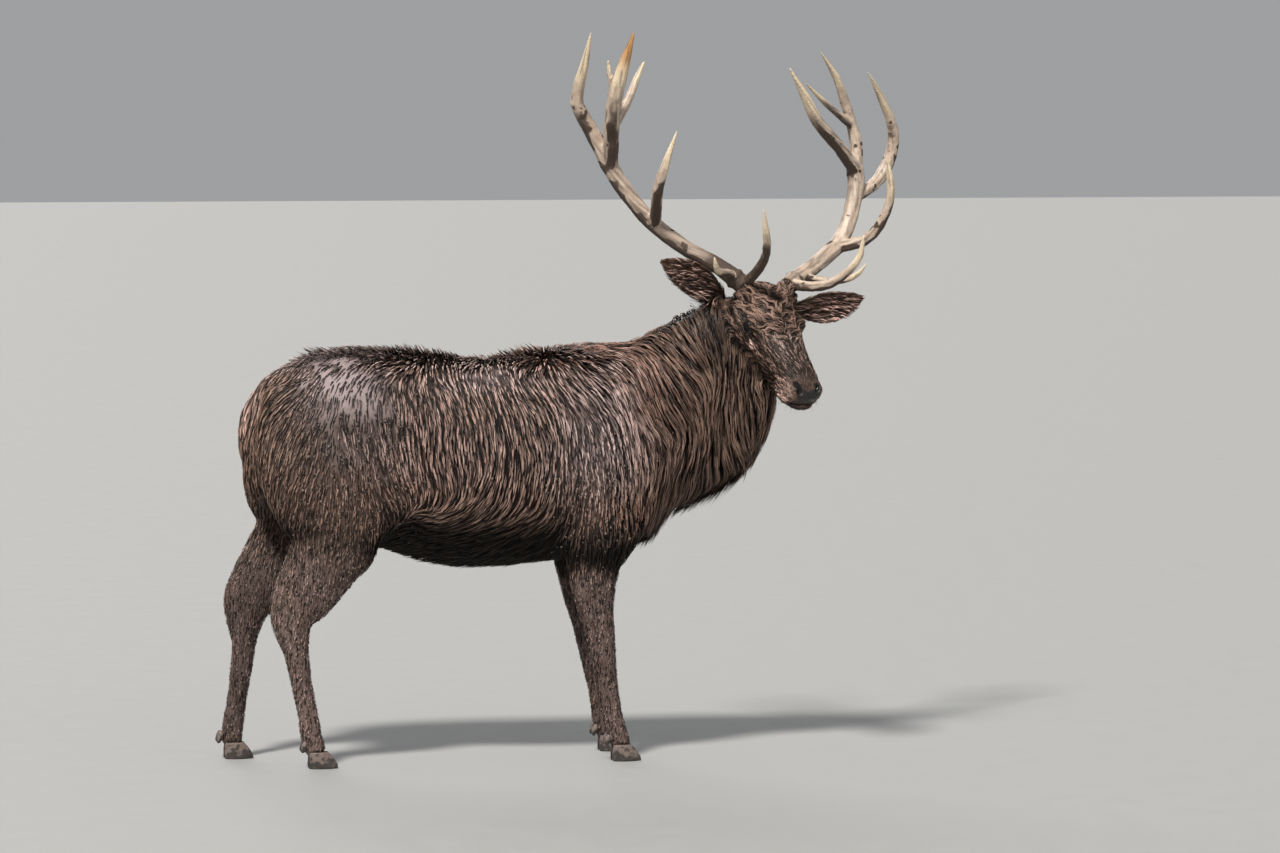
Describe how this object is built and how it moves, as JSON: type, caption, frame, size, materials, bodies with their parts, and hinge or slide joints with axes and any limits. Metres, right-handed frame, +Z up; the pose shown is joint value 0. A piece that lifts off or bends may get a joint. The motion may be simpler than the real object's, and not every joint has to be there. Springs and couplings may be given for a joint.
{
  "type": "red deer stag",
  "caption": "Life-size still model of a standing red deer stag with branched antlers, its head turned to its right, for museum or scene display.",
  "frame": {"origin": "on the floor, under the middle of the whole box", "axes": "+Z up, +X from the tail towards the chest, +Y to the animal's left"},
  "size_m": [2.1036, 0.6308, 2.1711],
  "materials": {
    "coat": "wet muddy fur",
    "antler": "dry antler bone with dried mud",
    "horn": "worn horn",
    "eye": "wet and dark"
  },
  "bodies": {
    "root": {"antler_left_beam_lower": "antler", "antler_left_beam_upper": "antler", "antler_left_bey_tine": "antler", "antler_left_brow_tine": "antler", "antler_left_crown_inner": "antler", "antler_left_crown_outer": "antler", "antler_left_crown_rear": "antler", "antler_left_crown_spur": "antler", "antler_left_trez_tine": "antler", "antler_right_beam_lower": "antler", "antler_right_beam_upper": "antler", "antler_right_bey_tine": "antler", "antler_right_brow_tine": "antler", "antler_right_crown_front": "antler", "antler_right_crown_inner": "antler", "antler_right_crown_rear": "antler", "antler_right_crown_spur": "antler", "antler_right_trez_tine": "antler", "cannon_fore_left": "coat", "cannon_fore_right": "coat", "cannon_hind_left": "coat", "cannon_hind_right": "coat", "dewclaw_fore_left_inner": "horn", "dewclaw_fore_left_outer": "horn", "dewclaw_fore_right_inner": "horn", "dewclaw_fore_right_outer": "horn", "dewclaw_hind_left_inner": "horn", "dewclaw_hind_left_outer": "horn", "dewclaw_hind_right_inner": "horn", "dewclaw_hind_right_outer": "horn", "ear_left": "coat", "ear_right": "coat", "eye_left": "eye", "eye_right": "eye", "forearm_fore_left": "coat", "forearm_fore_right": "coat", "head": "coat", "hoof_fore_left_inner": "horn", "hoof_fore_left_outer": "horn", "hoof_fore_right_inner": "horn", "hoof_fore_right_outer": "horn", "hoof_hind_left_inner": "horn", "hoof_hind_left_outer": "horn", "hoof_hind_right_inner": "horn", "hoof_hind_right_outer": "horn", "neck": "coat", "shank_hind_left": "coat", "shank_hind_right": "coat", "tail": "coat", "thigh_hind_left": "coat", "thigh_hind_right": "coat", "trunk": "coat"}
  },
  "joints": []
}
